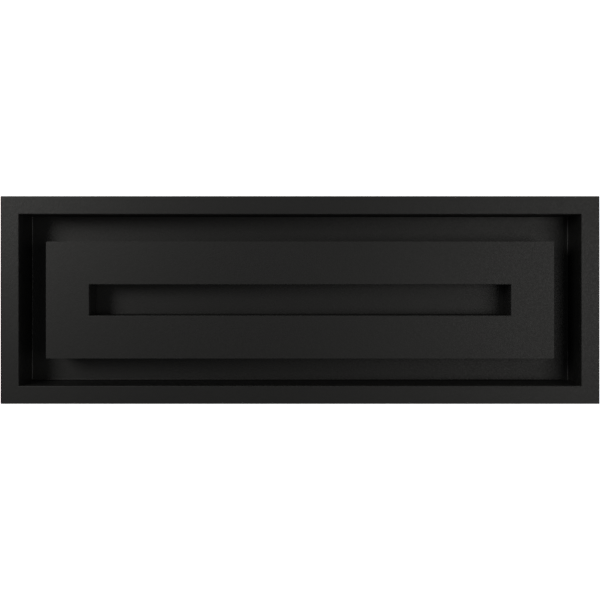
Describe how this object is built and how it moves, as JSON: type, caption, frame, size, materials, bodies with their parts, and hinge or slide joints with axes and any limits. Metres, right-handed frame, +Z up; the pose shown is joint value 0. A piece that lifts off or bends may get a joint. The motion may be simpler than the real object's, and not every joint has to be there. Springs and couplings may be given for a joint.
{
  "type": "electric fireplace insert",
  "caption": "Drop-in electric water-vapour fireplace insert in black steel: wide rim, sunken deck for pebbles, raised lift-off cover with one long mist slot.",
  "frame": {"origin": "middle of the insert's footprint, on the plane its feet stand on", "axes": "+X along the long side, +Y to the back (the fans' side), +Z up out of the slot"},
  "size_m": [1, 0.347, 0.23],
  "materials": {
    "black_steel": "matte powder coat",
    "galvanised_steel": "galvanised",
    "black_plastic": "matte",
    "black_rubber": "matte",
    "grey_foam": "matte",
    "brass": "satin",
    "white_ceramic": "matte",
    "white_plastic": "satin",
    "aluminium": "satin",
    "frosted_plastic": "frosted",
    "bright_steel": "satin",
    "grey_tube": "satin",
    "red_plastic": "satin",
    "green_board": "satin",
    "copper": "enamelled wire",
    "black_lead": "satin"
  },
  "bodies": {
    "insert": {"tray": "black_steel", "nozzle_bar": "black_steel", "casing": "galvanised_steel", "base_plate": "galvanised_steel", "feet": "black_rubber", "rim_gasket": "grey_foam", "water_tank": "black_plastic", "tank_seal": "black_rubber", "mist_hood": "black_plastic", "transducer_bodies": "black_plastic", "transducer_nuts": "brass", "transducer_discs": "white_ceramic", "float_stem": "white_plastic", "light_profiles": "aluminium", "light_strips": "white_plastic", "light_diffusers": "frosted_plastic", "air_plenum": "galvanised_steel", "fan_frames": "black_plastic", "fan_guards": "bright_steel", "water_panel": "galvanised_steel", "inlet_fitting": "brass", "inlet_nut": "brass", "valve_body": "white_plastic", "valve_coil": "black_plastic", "fill_tube": "grey_tube", "drain_pipe": "grey_tube", "drain_tap": "brass", "power_panel": "galvanised_steel", "mains_inlet": "black_plastic", "inlet_pins": "bright_steel", "switch_body": "black_plastic", "button_body": "bright_steel", "supply_case": "aluminium", "supply_board": "green_board", "control_board": "green_board", "control_parts": "black_plastic", "board_spacers": "brass", "driver_board": "green_board", "driver_coils": "copper", "heat_sink": "aluminium", "power_looms": "black_lead", "signal_looms": "black_lead", "cable_clips": "black_plastic", "short_screws": "bright_steel", "long_screws": "bright_steel"},
    "cover": {"cover": "black_steel"},
    "clamp_left_front": {"clamp_left_front": "galvanised_steel"},
    "clamp_left_back": {"clamp_left_back": "galvanised_steel"},
    "clamp_right_front": {"clamp_right_front": "galvanised_steel"},
    "clamp_right_back": {"clamp_right_back": "galvanised_steel"},
    "rotor_left": {"fan_rotor_left": "black_plastic"},
    "rotor_middle": {"fan_rotor_middle": "black_plastic"},
    "rotor_right": {"fan_rotor_right": "black_plastic"},
    "plunger": {"valve_plunger": "bright_steel"},
    "drain_valve": {"drain_ball": "bright_steel", "drain_lever": "red_plastic"},
    "float": {"float_ring": "white_plastic"},
    "fuse_tray": {"fuse_drawer": "black_plastic"},
    "rocker": {"switch_rocker": "black_plastic"},
    "button": {"button_cap": "black_plastic"}
  },
  "joints": [
    {"name": "cover_lift", "type": "slide", "parent": "insert", "child": "cover", "axis": [0, 0, 1], "range_m": [0, 0.12]},
    {"name": "clamp_left_front_slide", "type": "slide", "parent": "insert", "child": "clamp_left_front", "axis": [0, 0, 1], "range_m": [-0.012, 0.012]},
    {"name": "clamp_left_back_slide", "type": "slide", "parent": "insert", "child": "clamp_left_back", "axis": [0, 0, 1], "range_m": [-0.012, 0.012]},
    {"name": "clamp_right_front_slide", "type": "slide", "parent": "insert", "child": "clamp_right_front", "axis": [0, 0, 1], "range_m": [-0.012, 0.012]},
    {"name": "clamp_right_back_slide", "type": "slide", "parent": "insert", "child": "clamp_right_back", "axis": [0, 0, 1], "range_m": [-0.012, 0.012]},
    {"name": "fan_left_spin", "type": "hinge", "parent": "insert", "child": "rotor_left", "pos_m": [-0.2, 0.127, 0.124], "axis": [0, 1, 0], "continuous": true},
    {"name": "fan_middle_spin", "type": "hinge", "parent": "insert", "child": "rotor_middle", "pos_m": [0, 0.127, 0.124], "axis": [0, 1, 0], "continuous": true},
    {"name": "fan_right_spin", "type": "hinge", "parent": "insert", "child": "rotor_right", "pos_m": [0.2, 0.127, 0.124], "axis": [0, 1, 0], "continuous": true},
    {"name": "plunger_lift", "type": "slide", "parent": "insert", "child": "plunger", "axis": [0, 0, 1], "range_m": [0, 0.006], "stiffness_N_per_m": 60, "springref_m": -0.01},
    {"name": "drain_turn", "type": "hinge", "parent": "insert", "child": "drain_valve", "pos_m": [0.453, 0.035, 0.041], "axis": [0, 0, -1], "range_deg": [0, 90]},
    {"name": "float_slide", "type": "slide", "parent": "insert", "child": "float", "axis": [0, 0, 1], "range_m": [0, 0.023]},
    {"name": "fuse_slide", "type": "slide", "parent": "insert", "child": "fuse_tray", "axis": [-1, 0, 0], "range_m": [0, 0.012]},
    {"name": "rocker_tip", "type": "hinge", "parent": "insert", "child": "rocker", "pos_m": [-0.441, -0.045, 0.079], "axis": [0, 1, 0], "range_deg": [0, 14]},
    {"name": "button_press", "type": "slide", "parent": "insert", "child": "button", "axis": [1, 0, 0], "range_m": [0, 0.0025], "stiffness_N_per_m": 300, "springref_m": -0.001}
  ]
}
